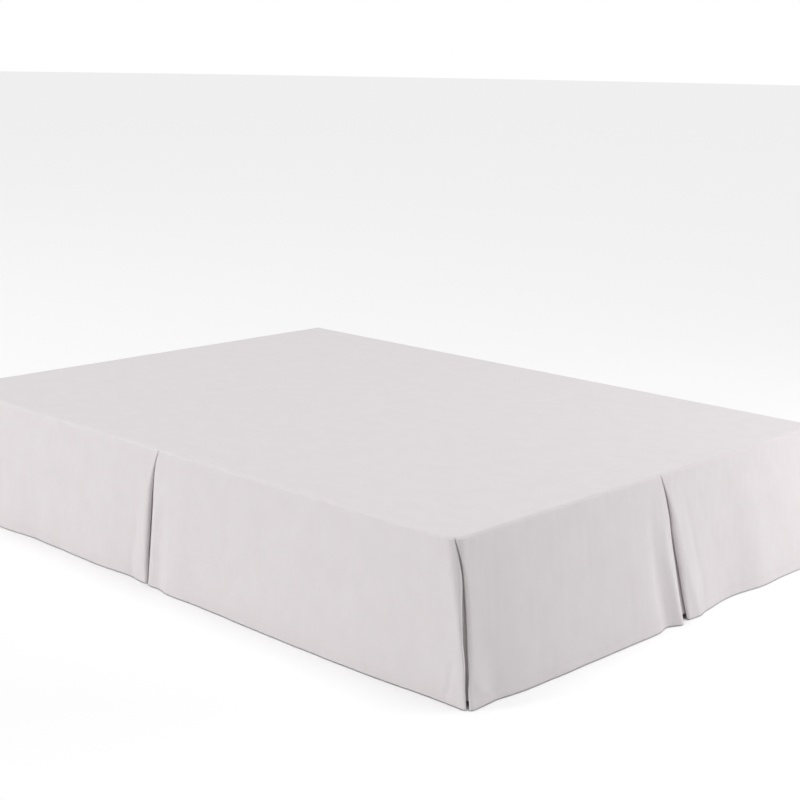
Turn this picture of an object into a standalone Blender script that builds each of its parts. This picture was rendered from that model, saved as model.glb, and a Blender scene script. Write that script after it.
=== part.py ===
"""Bed skirt on a bed base: a flat deck, six drop panels and five pleat underlays over a plain foundation.

Metres, +Z up, +X to the bed's right, +Y to its head. The part stands on z = 0, and the middle of its
box is over the origin. The head end of the skirt is open.

Along each side the cloth is described by three values: "along", the way along the seam from the foot
corner (or from the left corner on the foot), "out", the way outwards from the seam, and "drop", which
runs from 0 at the seam to 1 at the hem.
"""
import math

import bmesh
import bpy
import numpy as np

# The bed and its skirt
BED_WIDTH = 1.524
BED_LENGTH = 2.032
DECK_TOP = 0.3556
CLOTH = 0.0012
SEAM_GAP = 0.0003
LAYER_STEP = CLOTH + 0.0004
HEM_LIFT = 0.003
UNDERLAY_LIFT = 0.013

# The turned-back edges at the pleats, and the strips behind them
RETURN_WIDTH = 0.045
TIGHT_TURN = 0.35
UNDERLAY_REACH = 0.095
UNDERLAY_EASE = 0.008

# The rounded foot corners: softly round at the seam, sharper at the hem
CORNER_RADIUS_SEAM = 0.035
CORNER_RADIUS_HEM = 0.005
CORNER_SHARPENING = 1.6

# The plain base under the deck
BASE_INSET = 0.009
BASE_HEIGHT = 0.190
BASE_CORNER_RADIUS = 0.030
BASE_EDGE_RADIUS = 0.006
LEG_INSET = 0.120
LEG_TOP_RADIUS = 0.030
LEG_FOOT_RADIUS = 0.022

UNDER_DECK = DECK_TOP - CLOTH - SEAM_GAP
BASE_BOTTOM = UNDER_DECK - BASE_HEIGHT

# How far the hem stands out from the seam, in millimetres, at places along it in metres
SIDE_HEM = {
    "along": (0.00, 0.05, 0.20, 0.45, 0.80, 0.98, 1.06, 1.26, 1.47, 1.70, 2.032),
    "out": (42, 45, 53, 56, 51, 50, 37, 42, 37, 46, 44),
}
FOOT_HEM = {
    "along": (0.00, 0.05, 0.12, 0.25, 0.45, 0.68, 0.80, 0.87, 0.94, 1.03, 1.11, 1.22, 1.40, 1.474, 1.524),
    "out": (88, 88, 96, 100, 103, 106, 103, 96, 86, 85, 97, 95, 94, 89, 88),
}

# Soft upright folds of the drops: middle along the side, half width and depth at the hem in
# millimetres, positive outwards, and the drop at which the fold begins
SIDE_FOLDS = {
    "middle": (972, 1065, 1560),
    "half_width": (28, 24, 60),
    "depth": (-7, 2.5, -5),
    "begins": (0.35, 0.25, 0.30),
}
FOOT_FOLDS = {
    "middle": (52, 682, 726, 814),
    "half_width": (24, 26, 15, 22),
    "depth": (-2, -10, 6, 5),
    "begins": (0.35, 0.15, 0.15, 0.10),
}

# The pleats at places down the drop, in millimetres: where their folded edges stand beside the middle,
# how wide a strip of the face rolls over into a fold, and how far behind the face the cloth comes back
SIDE_PLEAT = {
    "drop": (0.00, 0.12, 0.27, 0.45, 0.67, 0.85, 1.00),
    "foot_edge": (4.85, 15.0, 17.5, 14.0, 11.5, 9.0, 6.5),
    "head_edge": (5.15, 19.0, 28.5, 31.0, 28.0, 24.0, 15.0),
    "foot_roll": (1.1, 3.5, 6.0, 7.0, 7.0, 6.5, 6.0),
    "head_roll": (1.1, 4.0, 9.0, 12.0, 12.0, 11.0, 9.0),
    "fold_depth": (2.2, 5.0, 11.0, 14.0, 14.0, 13.0, 11.0),
}
FOOT_PLEAT = {
    "drop": (0.00, 0.12, 0.28, 0.45, 0.62, 0.80, 1.00),
    "left_edge": (-0.15, 6.0, 7.5, 0.5, -6.0, -15.0, -24.0),
    "right_edge": (0.15, 11.5, 16.5, 14.0, 13.5, 9.0, 5.0),
    "left_roll": (1.1, 3.5, 5.5, 6.5, 6.5, 6.0, 5.0),
    "right_roll": (1.1, 5.0, 13.0, 21.0, 21.0, 15.0, 6.0),
    "fold_depth": (2.2, 5.0, 11.0, 15.0, 14.5, 11.0, 7.5),
}
CORNER_PLEAT = {
    "drop": (0.00, 0.10, 0.23, 0.42, 0.59, 0.75, 0.90, 1.00),
    "side_edge": (0.0, -4.5, -11.5, -6.5, 0.0, 4.5, 9.5, 10.0),
    "foot_edge": (0.0, 9.0, 17.0, 21.0, 18.5, 15.5, 10.0, 7.0),
    "side_roll": (1.1, 3.0, 9.0, 15.0, 17.0, 17.0, 15.0, 12.0),
    "foot_roll": (1.1, 3.0, 8.0, 12.0, 12.0, 11.0, 9.0, 7.0),
    "fold_depth": (2.2, 3.5, 7.5, 11.0, 10.0, 8.0, 7.0, 6.5),
}

# How finely the shapes are divided
DROP_ROWS = 10
FACE_STEPS = 15
FOLD_STEPS = 6
PLEAT_RETURN_STEPS = 4
CORNER_RETURN_STEPS = 9
UNDERLAY_STEPS = 8
CORNER_ARC_STEPS = 12
CORNER_ARM_STEPS = 4
DECK_ARC_STEPS = 8
BASE_ARC_STEPS = 6
LEG_SEGMENTS = 24


def clear_scene():
    for old in list(bpy.data.objects):
        bpy.data.objects.remove(old, do_unlink=True)


def make_material(name, color, roughness):
    material = bpy.data.materials.new(name)
    material.use_nodes = True
    shader = material.node_tree.nodes["Principled BSDF"]
    shader.inputs["Base Color"].default_value = (*color, 1.0)
    shader.inputs["Roughness"].default_value = roughness
    shader.inputs["Metallic"].default_value = 0.0
    return material


def skirt_cloth():
    return make_material("skirt_cloth", (0.71, 0.68, 0.69), 0.85)


def foundation_cover():
    return make_material("foundation_cover", (0.62, 0.61, 0.60), 0.90)


def leg_wood():
    return make_material("leg_wood", (0.16, 0.10, 0.06), 0.50)


def between(table, column, row_column, at):
    """The value of a table's column at a place between its rows, on a smooth curve through them."""
    places = np.array(table[row_column], float)
    values = np.array(table[column], float)
    slopes = np.gradient(values, places)
    at = min(max(at, places[0]), places[-1])
    i = min(max(int(np.searchsorted(places, at)) - 1, 0), len(places) - 2)
    step = places[i + 1] - places[i]
    u = (at - places[i]) / step
    start = (1 + 2 * u) * (1 - u) ** 2 * values[i] + u * (1 - u) ** 2 * step * slopes[i]
    end = u * u * (3 - 2 * u) * values[i + 1] + u * u * (u - 1) * step * slopes[i + 1]
    return float(start + end)


def metres(millimetres):
    return millimetres / 1000


def fold_offset(folds, along, drop):
    """The outward push of all the soft folds of one side at a place on its drop."""
    push = 0.0
    for middle, half_width, depth, begins in zip(*folds.values()):
        growth = max(0.0, (drop - begins) / (1 - begins)) ** 1.5
        beside = (along - metres(middle)) / metres(half_width)
        push += metres(depth) * growth * math.exp(-beside * beside)
    return push


def side_out(along, drop):
    return metres(between(SIDE_HEM, "out", "along", along)) * drop + fold_offset(SIDE_FOLDS, along, drop)


def foot_out(along, drop):
    return metres(between(FOOT_HEM, "out", "along", along)) * drop + fold_offset(FOOT_FOLDS, along, drop)


def corner_radius(drop):
    return CORNER_RADIUS_HEM + (CORNER_RADIUS_SEAM - CORNER_RADIUS_HEM) * (1 - drop) ** CORNER_SHARPENING


def cloth_height(drop, lift):
    return UNDER_DECK - drop * (UNDER_DECK - lift)


class Side:
    """One side of the skirt: its length, how its cloth stands out, and where its corners are."""

    def __init__(self, length, out, neighbour_out, corner_at_end, to_world):
        self.length = length
        self.out = out
        self.neighbour_out = neighbour_out
        self.corner_at_end = corner_at_end
        self.to_world = to_world

    def corner_middle(self, drop):
        """Where this side's half of the corner's arc begins, along the face."""
        return corner_radius(drop) * (1 - math.pi / 4) - self.neighbour_out(0.0, drop)

    def plan(self, along, drop, depth):
        """(along, out) of a layer that lies a depth behind the face, carried round the corners."""
        from_end = self.corner_at_end and along > self.length / 2
        near = self.length - along if from_end else along
        radius = corner_radius(drop)
        arc_start = radius - self.neighbour_out(0.0, drop)
        if near < arc_start:
            turn = (arc_start - near) / radius
            reach = radius - depth
            near = arc_start - reach * math.sin(turn)
            out = self.out(0.0, drop) - radius + reach * math.cos(turn)
        else:
            out = self.out(along, drop) - depth
        return (self.length - near if from_end else near), out

    def point(self, along, drop, depth, lift=HEM_LIFT):
        place, out = self.plan(along, drop, depth)
        return self.to_world(place, out, cloth_height(drop, lift))


def left_world(along, out, height):
    return -BED_WIDTH / 2 - out, along - BED_LENGTH / 2, height


def right_world(along, out, height):
    return BED_WIDTH / 2 + out, along - BED_LENGTH / 2, height


def foot_world(along, out, height):
    return along - BED_WIDTH / 2, -BED_LENGTH / 2 - out, height


LEFT = Side(BED_LENGTH, side_out, foot_out, False, left_world)
RIGHT = Side(BED_LENGTH, side_out, foot_out, False, right_world)
FOOT = Side(BED_WIDTH, foot_out, side_out, True, foot_world)


def down_pleat(pleat, column, drop):
    return metres(between(pleat, column, "drop", drop))


def underlay_depth(pleat, drop):
    """How far behind the face an underlay hangs, clear of the turned-back edges."""
    return CLOTH / 2 + down_pleat(pleat, "fold_depth", drop) + LAYER_STEP + UNDERLAY_EASE * drop ** 2


class FoldedEdge:
    """An end of a drop panel that rolls over and back behind it, at a place along its side at each drop."""

    def __init__(self, side, place, inwards, pleat, roll, return_steps):
        self.side = side
        self.place = place
        self.inwards = inwards
        self.pleat = pleat
        self.roll = roll
        self.return_steps = return_steps

    def layer(self, drop, share, turn):
        """(along, depth) part way round the fold, or a share of the way back along the return."""
        fold_depth = down_pleat(self.pleat, "fold_depth", drop)
        tight = TIGHT_TURN * fold_depth
        rolled = fold_depth - tight
        if turn < math.pi / 2:
            width = down_pleat(self.pleat, self.roll, drop)
            depth = rolled * (1 - math.cos(turn))
        else:
            width = tight
            depth = rolled - tight * math.cos(turn)
        from_edge = CLOTH / 2 + width * (1 - math.sin(turn)) + share * RETURN_WIDTH
        depth += CLOTH / 2 + (LAYER_STEP - fold_depth) * share
        return self.place(drop) + self.inwards * from_edge, depth

    def face_start(self, drop):
        return self.layer(drop, 0.0, 0.0)[0]

    def stations(self):
        """Shares of the return and turns of the fold, from the cloth's end to its face."""
        steps = self.return_steps
        returns = [(1 - i / steps, math.pi) for i in range(steps)]
        return returns + [(0.0, math.pi * (1 - i / FOLD_STEPS)) for i in range(FOLD_STEPS)]

    def places(self):
        def at_station(share, turn):
            def place(drop):
                along, depth = self.layer(drop, share, turn)
                return self.side.point(along, drop, depth)
            return place
        return [at_station(share, turn) for share, turn in self.stations()]


def corner_edge(side, name):
    """The folded edge of a panel at its side's first corner."""
    def place(drop):
        return side.corner_middle(drop) + SEAM_GAP / 2 + down_pleat(CORNER_PLEAT, f"{name}_edge", drop)
    return FoldedEdge(side, place, 1, CORNER_PLEAT, f"{name}_roll", CORNER_RETURN_STEPS)


def far_corner_edge(side, name):
    near = corner_edge(side, name).place
    def place(drop):
        return side.length - near(drop)
    return FoldedEdge(side, place, -1, CORNER_PLEAT, f"{name}_roll", CORNER_RETURN_STEPS)


def pleat_edge(side, pleat, name, inwards):
    """The folded edge of a panel beside the pleat at the middle of its side."""
    def place(drop):
        return side.length / 2 + down_pleat(pleat, f"{name}_edge", drop)
    return FoldedEdge(side, place, inwards, pleat, f"{name}_roll", PLEAT_RETURN_STEPS)


def make_sheet(name, places):
    """A cloth of one thickness, from a grid with a column for each place and a row for each drop."""
    steps = len(places) - 1
    shape = bmesh.new()
    bmesh.ops.create_grid(shape, x_segments=steps, y_segments=DROP_ROWS, size=1)
    for vert in shape.verts:
        column = round((vert.co.x + 1) / 2 * steps)
        row = round((1 - vert.co.y) / 2 * DROP_ROWS)
        vert.co = places[column](row / DROP_ROWS)
    mesh = bpy.data.meshes.new(name)
    shape.to_mesh(mesh)
    shape.free()
    mesh.shade_smooth()
    sheet = bpy.data.objects.new(name, mesh)
    thickness = sheet.modifiers.new("thickness", "SOLIDIFY")
    thickness.thickness = CLOTH
    thickness.offset = 0
    thickness.use_even_offset = True
    return sheet


def make_drop(name, side, start_edge, end_edge):
    """A drop panel between two folded edges; an end_edge of None is the plain end at the bed's head."""
    def face_place(share):
        def place(drop):
            start = start_edge.face_start(drop)
            end = end_edge.face_start(drop) if end_edge else side.length
            return side.point(start + (end - start) * share, drop, CLOTH / 2)
        return place

    shares = [(1 - math.cos(math.pi * i / FACE_STEPS)) / 2 for i in range(FACE_STEPS + 1)]
    places = start_edge.places() + [face_place(share) for share in shares]
    if end_edge:
        places += reversed(end_edge.places())
    return make_sheet(name, places)


def make_pleat_underlay(name, side, pleat):
    """The strip behind the pleat at the middle of a side."""
    def place_at(along):
        return lambda drop: side.point(along, drop, underlay_depth(pleat, drop), UNDERLAY_LIFT)

    reaches = [UNDERLAY_REACH * (2 * i / UNDERLAY_STEPS - 1) for i in range(UNDERLAY_STEPS + 1)]
    return make_sheet(name, [place_at(side.length / 2 + reach) for reach in reaches])


def make_corner_underlay(name, to_world):
    """The strip behind a corner's pleat: it hangs round the corner on an arc of its own."""
    arc = CORNER_RADIUS_SEAM - underlay_depth(CORNER_PLEAT, 0.0)

    def place_at(along_side, along_foot, turn):
        def place(drop):
            depth = underlay_depth(CORNER_PLEAT, drop)
            along = arc * (1 - math.sin(turn)) + along_side + depth - foot_out(0.0, drop)
            out = side_out(0.0, drop) - depth - arc * (1 - math.cos(turn)) - along_foot
            return to_world(along, out, cloth_height(drop, UNDERLAY_LIFT))
        return place

    arms = [UNDERLAY_REACH * (i + 1) / CORNER_ARM_STEPS for i in range(CORNER_ARM_STEPS)]
    turns = [math.pi / 2 * i / CORNER_ARC_STEPS for i in range(CORNER_ARC_STEPS + 1)]
    places = [place_at(reach, 0.0, 0.0) for reach in reversed(arms)]
    places += [place_at(0.0, 0.0, turn) for turn in turns]
    places += [place_at(0.0, reach, math.pi / 2) for reach in arms]
    return make_sheet(name, places)


def make_deck():
    """The flat deck, cut round at its foot corners."""
    half_width = BED_WIDTH / 2
    half_length = BED_LENGTH / 2
    turns = [math.pi / 2 * i / DECK_ARC_STEPS for i in range(DECK_ARC_STEPS + 1)]
    right_arc = [
        (half_width - CORNER_RADIUS_SEAM * (1 - math.cos(turn)),
         -half_length + CORNER_RADIUS_SEAM * (1 - math.sin(turn)))
        for turn in turns
    ]
    left_arc = [(-x, y) for x, y in reversed(right_arc)]
    outline = [(-half_width, half_length), (half_width, half_length)] + right_arc + left_arc
    curve = bpy.data.curves.new("deck", "CURVE")
    curve.dimensions = "2D"
    curve.fill_mode = "BOTH"
    curve.extrude = CLOTH / 2
    spline = curve.splines.new("POLY")
    spline.points.add(len(outline) - 1)
    for point, (x, y) in zip(spline.points, outline):
        point.co = (x, y, 0, 1)
    spline.use_cyclic_u = True
    deck = bpy.data.objects.new("deck", curve)
    deck.location.z = DECK_TOP - CLOTH / 2
    return deck


def make_base_box():
    """The foundation: a box with round foot corners and soft edges."""
    shape = bmesh.new()
    bmesh.ops.create_cube(shape, size=1)
    size = (BED_WIDTH - 2 * BASE_INSET, BED_LENGTH - 2 * BASE_INSET, BASE_HEIGHT)
    bmesh.ops.scale(shape, vec=size, verts=shape.verts)
    foot_corners = []
    for edge in shape.edges:
        first, second = (vert.co for vert in edge.verts)
        upright = first.x == second.x and first.y == second.y
        if upright and first.y < 0:
            foot_corners.append(edge)
    bmesh.ops.bevel(
        shape, geom=foot_corners, offset=BASE_CORNER_RADIUS,
        segments=BASE_ARC_STEPS, profile=0.5, affect="EDGES",
    )
    mesh = bpy.data.meshes.new("base_box")
    shape.to_mesh(mesh)
    shape.free()
    box = bpy.data.objects.new("base_box", mesh)
    box.location.z = UNDER_DECK - BASE_HEIGHT / 2
    soft = box.modifiers.new("soft_edges", "BEVEL")
    soft.width = BASE_EDGE_RADIUS
    soft.segments = 2
    soft.limit_method = "ANGLE"
    soft.angle_limit = math.radians(40)
    return box


def make_leg(name, x, y):
    """A tapered round leg from the floor to the foundation."""
    height = BASE_BOTTOM - SEAM_GAP
    shape = bmesh.new()
    bmesh.ops.create_cone(
        shape, cap_ends=True, segments=LEG_SEGMENTS,
        radius1=LEG_FOOT_RADIUS, radius2=LEG_TOP_RADIUS, depth=height,
    )
    mesh = bpy.data.meshes.new(name)
    shape.to_mesh(mesh)
    shape.free()
    mesh.shade_smooth()
    mesh.set_sharp_from_angle(angle=math.radians(40))
    leg = bpy.data.objects.new(name, mesh)
    leg.location = (x, y, height / 2)
    return leg


def make_legs():
    reach_x = BED_WIDTH / 2 - LEG_INSET
    reach_y = BED_LENGTH / 2 - LEG_INSET
    return [
        make_leg(f"leg_{side_name}_{place_name}", x, y)
        for side_name, x in (("left", -reach_x), ("right", reach_x))
        for place_name, y in (("foot", -reach_y), ("middle", 0.0), ("head", reach_y))
    ]


def make_drops():
    drops = []
    for name, side in (("left", LEFT), ("right", RIGHT)):
        corner = corner_edge(side, "side")
        before_pleat = pleat_edge(side, SIDE_PLEAT, "foot", -1)
        after_pleat = pleat_edge(side, SIDE_PLEAT, "head", 1)
        drops.append(make_drop(f"drop_{name}_foot", side, corner, before_pleat))
        drops.append(make_drop(f"drop_{name}_head", side, after_pleat, None))
    before_pleat = pleat_edge(FOOT, FOOT_PLEAT, "left", -1)
    after_pleat = pleat_edge(FOOT, FOOT_PLEAT, "right", 1)
    drops.append(make_drop("drop_foot_left", FOOT, corner_edge(FOOT, "foot"), before_pleat))
    drops.append(make_drop("drop_foot_right", FOOT, after_pleat, far_corner_edge(FOOT, "foot")))
    return drops


def make_underlays():
    return [
        make_pleat_underlay("underlay_left", LEFT, SIDE_PLEAT),
        make_pleat_underlay("underlay_right", RIGHT, SIDE_PLEAT),
        make_pleat_underlay("underlay_foot", FOOT, FOOT_PLEAT),
        make_corner_underlay("underlay_left_corner", left_world),
        make_corner_underlay("underlay_right_corner", right_world),
    ]


def collect(collection, pieces, material):
    for piece in pieces:
        piece.data.materials.append(material)
        collection.objects.link(piece)


def centre_on_origin(collection):
    """Hang every piece on one empty, which moves the middle of their box over the origin."""
    pieces = list(collection.objects)
    anchor = bpy.data.objects.new("bed_centre", None)
    collection.objects.link(anchor)
    for piece in pieces:
        piece.parent = anchor
    bpy.context.view_layer.update()
    graph = bpy.context.evaluated_depsgraph_get()
    points = []
    for piece in pieces:
        shown = piece.evaluated_get(graph)
        points += [shown.matrix_world @ vert.co for vert in shown.to_mesh().vertices]
        shown.to_mesh_clear()
    for axis in (0, 1):
        places = [point[axis] for point in points]
        anchor.location[axis] = -(min(places) + max(places)) / 2
    bpy.context.view_layer.update()


def build():
    clear_scene()
    collection = bpy.data.collections.new("bed_skirt_on_base")
    bpy.context.scene.collection.children.link(collection)
    collect(collection, [make_deck()] + make_drops() + make_underlays(), skirt_cloth())
    collect(collection, [make_base_box()], foundation_cover())
    collect(collection, make_legs(), leg_wood())
    centre_on_origin(collection)


build()
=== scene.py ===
"""The looks of the bed skirt on its base: fine cloth on the folds of the solids, sewing, materials, stage.

Metres, +Z up, +X to the bed's right, +Y to its head. Along each side the cloth is described by
"along", the way along the seam from the foot corner (or from the left corner on the foot), "out", the
way outwards from the seam, and "drop", which runs from 0 at the seam to 1 at the hem.
"""
import math

import bpy
import numpy as np
from mathutils import Matrix, Vector


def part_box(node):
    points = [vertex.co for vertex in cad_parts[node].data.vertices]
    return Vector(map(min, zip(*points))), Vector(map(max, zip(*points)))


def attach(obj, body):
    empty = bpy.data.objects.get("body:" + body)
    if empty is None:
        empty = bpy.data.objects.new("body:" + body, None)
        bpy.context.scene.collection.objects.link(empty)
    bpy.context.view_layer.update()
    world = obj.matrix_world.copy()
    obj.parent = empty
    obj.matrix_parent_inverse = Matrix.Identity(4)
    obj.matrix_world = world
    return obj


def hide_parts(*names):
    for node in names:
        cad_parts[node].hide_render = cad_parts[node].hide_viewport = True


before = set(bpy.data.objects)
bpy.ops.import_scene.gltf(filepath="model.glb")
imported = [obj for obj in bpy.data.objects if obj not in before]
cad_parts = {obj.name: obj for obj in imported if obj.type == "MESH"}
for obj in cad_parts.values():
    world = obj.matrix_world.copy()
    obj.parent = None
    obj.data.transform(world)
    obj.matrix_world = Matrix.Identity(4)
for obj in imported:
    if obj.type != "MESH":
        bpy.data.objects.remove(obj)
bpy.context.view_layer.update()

# The bed, read from the solids that stay
deck_low, deck_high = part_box("deck")
base_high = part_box("base_box")[1]
BED_WIDTH = deck_high.x - deck_low.x
BED_LENGTH = deck_high.y - deck_low.y
BED_MIDDLE_Y = (deck_high.y + deck_low.y) / 2
DECK_TOP = deck_high.z
UNDER_DECK = base_high.z

# The layers of cloth in the solids, which the fine sheets repeat
LAYER = 0.0012
SEAM_GAP = 0.0003
LAYER_STEP = LAYER + 0.0004
HEM_LIFT = 0.003
UNDERLAY_LIFT = 0.013
RETURN_WIDTH = 0.045
RETURN_DRIFT = 0.4
TIGHT_TURN = 0.35
UNDERLAY_REACH = 0.095
UNDERLAY_EASE = 0.008
CORNER_RADIUS_SEAM = 0.035
CORNER_RADIUS_HEM = 0.005
CORNER_SHARPENING = 1.6

# The shown cloth, its rounded seam, its hems and its sewing
CLOTH = 0.0008
SEAM_ROUND = 0.006
SEAM_ANGLE = math.radians(45)
SEAM_PINCH = 0.0010
SEAM_PINCH_REACH = 0.0028
HEM_FOLD_RADIUS = 0.0005
HEM_WIDTH = 0.020
HEM_STITCH_HEIGHT = 0.018
HEAD_HEM = {"drop": (0.0, 1.0), "roll": (1.6, 1.6), "fold_depth": (4.4, 4.4)}
HEAD_HEM_WIDTH = 0.012
HEAD_STITCH_IN = 0.8 * HEAD_HEM_WIDTH
HEAD_HEM_LIFT = 0.0006
HEAD_HEM_LIFT_REACH = 0.035
STITCH_PITCH = 0.0032
STITCH_LENGTH = 0.75 * STITCH_PITCH
STITCH_DENT = 0.00028
STITCH_DENT_REACH = 0.0012

# How finely the cloth is divided. Fine rows lie on both sides of the hem's stitches. An evenness of 1
# would space a face's columns evenly, and a lower one crowds them towards its ends. The deck has fine
# rows in a strip at the head.
ROW_STEP = 0.0055
FINE_ROW_STEP = 0.0012
FINE_ROWS_EACH_SIDE = 3
LOWEST_ROWS = 4
FACE_STEP = 0.0048
FACE_EVENNESS = 0.55
SEAM_ROWS = 5
FOLD_STEPS = 16
RETURN_STEPS = 8
HEM_TURN_STEPS = 6
UNDERLAY_STEPS = 36
UNDERLAY_ROWS = 40
CORNER_ARC_STEPS = 18
CORNER_ARM_STEPS = 14
DECK_STEP = 0.012
DECK_FIRST_STEP = 0.0002
DECK_STEP_GROWTH = 0.25
HEAD_STRIP = 0.05
HEAD_STRIP_ROWS = 25

# How far the hem stands out from the seam, in millimetres, at places along it in metres
SIDE_HEM = {
    "along": (0.00, 0.05, 0.20, 0.45, 0.80, 0.98, 1.06, 1.26, 1.47, 1.70, 2.032),
    "out": (42, 45, 53, 56, 51, 50, 37, 42, 37, 46, 44),
}
FOOT_HEM = {
    "along": (0.00, 0.05, 0.12, 0.25, 0.45, 0.68, 0.80, 0.87, 0.94, 1.03, 1.11, 1.22, 1.40, 1.474, 1.524),
    "out": (88, 88, 96, 100, 103, 106, 103, 96, 86, 85, 97, 95, 94, 89, 88),
}

# Soft upright folds of the drops: middle along the side, half width and depth at the hem in
# millimetres, positive outwards, and the drop at which the fold begins
SIDE_FOLDS = {
    "middle": (972, 1065, 1560),
    "half_width": (28, 24, 60),
    "depth": (-7, 2.5, -5),
    "begins": (0.35, 0.25, 0.30),
}
FOOT_FOLDS = {
    "middle": (52, 682, 726, 814),
    "half_width": (24, 26, 15, 22),
    "depth": (-2, -10, 6, 5),
    "begins": (0.35, 0.15, 0.15, 0.10),
}

# The pleats at places down the drop, in millimetres: where their folded edges stand beside the middle,
# how wide a strip of the face rolls over into a fold, and how far behind the face the cloth comes back
SIDE_PLEAT = {
    "drop": (0.00, 0.12, 0.27, 0.45, 0.67, 0.85, 1.00),
    "foot_edge": (4.85, 15.0, 17.5, 14.0, 11.5, 9.0, 6.5),
    "head_edge": (5.15, 19.0, 28.5, 31.0, 28.0, 24.0, 15.0),
    "foot_roll": (1.1, 3.5, 6.0, 7.0, 7.0, 6.5, 6.0),
    "head_roll": (1.1, 4.0, 9.0, 12.0, 12.0, 11.0, 9.0),
    "fold_depth": (2.2, 5.0, 11.0, 14.0, 14.0, 13.0, 11.0),
}
FOOT_PLEAT = {
    "drop": (0.00, 0.12, 0.28, 0.45, 0.62, 0.80, 1.00),
    "left_edge": (-0.15, 6.0, 7.5, 0.5, -6.0, -15.0, -24.0),
    "right_edge": (0.15, 11.5, 16.5, 14.0, 13.5, 9.0, 5.0),
    "left_roll": (1.1, 3.5, 5.5, 6.5, 6.5, 6.0, 5.0),
    "right_roll": (1.1, 5.0, 13.0, 21.0, 21.0, 15.0, 6.0),
    "fold_depth": (2.2, 5.0, 11.0, 15.0, 14.5, 11.0, 7.5),
}
CORNER_PLEAT = {
    "drop": (0.00, 0.10, 0.23, 0.42, 0.59, 0.75, 0.90, 1.00),
    "side_edge": (0.0, -4.5, -11.5, -6.5, 0.0, 4.5, 9.5, 10.0),
    "foot_edge": (0.0, 9.0, 17.0, 21.0, 18.5, 15.5, 10.0, 7.0),
    "side_roll": (1.1, 3.0, 9.0, 15.0, 17.0, 17.0, 15.0, 12.0),
    "foot_roll": (1.1, 3.0, 8.0, 12.0, 12.0, 11.0, 9.0, 7.0),
    "fold_depth": (2.2, 3.5, 7.5, 11.0, 10.0, 8.0, 7.0, 6.5),
}

# Creases, listed one by one. Each is a soft line between two places, given by along in metres and drop,
# with a sideways bow, a half width and a height in millimetres: a ridge is positive, a trough negative.
CREASE_COLUMNS = ("from_along", "from_drop", "to_along", "to_drop", "bow", "half_width", "height")
CREASES = {
    "drop_left_foot": (
        (0.975, 0.40, 0.980, 1.00, 3, 22, -2.8),
        (1.014, 0.30, 1.008, 1.02, -2, 10, 1.4),
        (-0.035, 0.72, -0.020, 1.02, 2, 9, -1.8),
        (-0.030, 0.86, 0.012, 0.99, 2, 5, 1.0),
        (-0.010, 0.93, 0.035, 1.02, -1, 5, -0.8),
        (0.035, 0.00, 0.020, 0.55, 6, 22, -1.0),
        (0.310, 0.10, 0.340, 0.95, 12, 45, -0.9),
        (0.520, 0.35, 0.500, 1.05, -10, 50, 1.0),
        (0.720, 0.05, 0.700, 0.85, 8, 42, -0.8),
    ),
    "drop_left_head": (
        (1.062, 0.25, 1.070, 0.95, 4, 14, 0.5),
        (1.095, 0.50, 1.104, 1.02, 3, 17, -2.0),
        (1.290, 0.10, 1.260, 0.95, 10, 40, -0.9),
        (1.500, 0.00, 1.490, 1.05, -8, 90, 2.4),
        (1.800, 0.00, 1.780, 0.80, 8, 45, 1.0),
        (1.960, 0.15, 1.985, 1.03, 5, 28, -1.2),
    ),
    "drop_foot_left": (
        (0.698, 0.10, 0.662, 1.04, 4, 25, -3.2),
        (0.742, 0.12, 0.720, 1.02, 3, 14, 1.6),
        (-0.028, 0.10, -0.055, 0.80, -4, 10, -1.8),
        (-0.062, 0.78, 0.005, 0.98, 3, 15, -2.0),
        (-0.020, 0.82, 0.050, 1.00, -2, 8, 0.9),
        (0.015, 0.60, 0.050, 0.97, 6, 40, -2.4),
        (0.100, 0.00, 0.085, 0.60, 6, 25, -0.9),
        (0.250, 0.30, 0.235, 1.05, 8, 45, 1.0),
        (0.420, 0.05, 0.450, 0.80, -8, 48, -0.9),
        (0.580, 0.35, 0.590, 1.03, 6, 34, 0.9),
    ),
    "drop_foot_right": (
        (0.790, 0.03, 0.806, 0.98, -3, 15, 2.0),
        (0.842, 0.12, 0.862, 1.02, 4, 15, -2.0),
        (0.960, 0.10, 0.975, 0.95, 8, 34, 0.9),
        (1.090, 0.25, 1.075, 1.04, -8, 45, -1.0),
        (1.270, 0.00, 1.290, 0.85, 8, 45, 1.0),
        (1.440, 0.20, 1.425, 1.02, 5, 24, -1.2),
    ),
    "drop_right_foot": (
        (0.940, 0.55, 0.950, 1.03, 3, 16, -1.8),
        (-0.030, 0.70, -0.015, 1.02, 2, 10, -1.5),
        (0.060, 0.00, 0.040, 0.60, -5, 24, -1.0),
        (0.260, 0.20, 0.240, 1.03, 10, 45, 1.1),
        (0.470, 0.05, 0.500, 0.90, 9, 50, -1.0),
        (0.740, 0.25, 0.720, 1.02, -8, 40, 1.0),
    ),
    "drop_right_head": (
        (1.070, 0.30, 1.078, 0.98, 4, 12, 1.2),
        (1.120, 0.35, 1.110, 1.02, 3, 18, -1.6),
        (1.380, 0.10, 1.400, 0.95, 10, 45, -1.0),
        (1.630, 0.25, 1.600, 1.05, -8, 50, 1.2),
        (1.880, 0.00, 1.900, 0.85, 6, 36, -1.0),
    ),
}

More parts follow.
